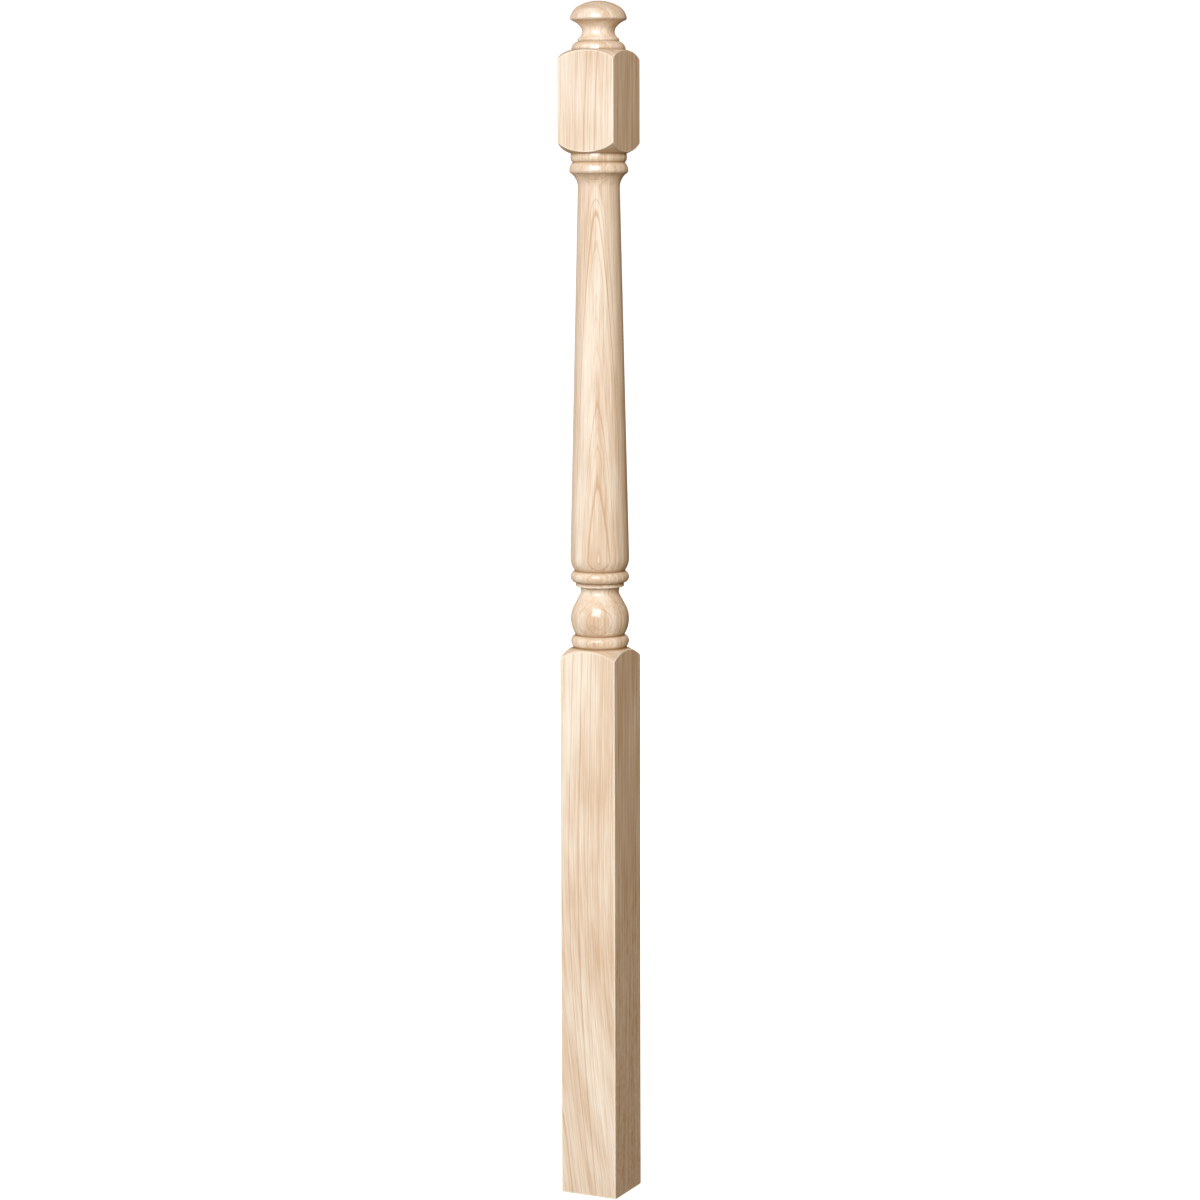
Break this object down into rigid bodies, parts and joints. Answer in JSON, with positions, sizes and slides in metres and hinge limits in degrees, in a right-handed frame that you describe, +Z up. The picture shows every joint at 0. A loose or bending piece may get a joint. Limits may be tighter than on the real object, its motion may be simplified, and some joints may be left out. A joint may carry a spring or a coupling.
{
  "type": "starting newel post",
  "caption": "Turned wooden stair newel post: square lower block, vase and beads, tapered shaft, square upper block and a turned dome cap.",
  "frame": {"origin": "centre of the square foot, where the post's axis meets the floor", "axes": "+Z up along the turning axis; X and Y square to the faces of both blocks"},
  "size_m": [0.0762, 0.0762, 1.4985],
  "materials": {
    "bare_wood": "sanded pale straight-grained wood with a satin sheen"
  },
  "bodies": {
    "root": {"newel_post": "bare_wood"}
  },
  "joints": []
}
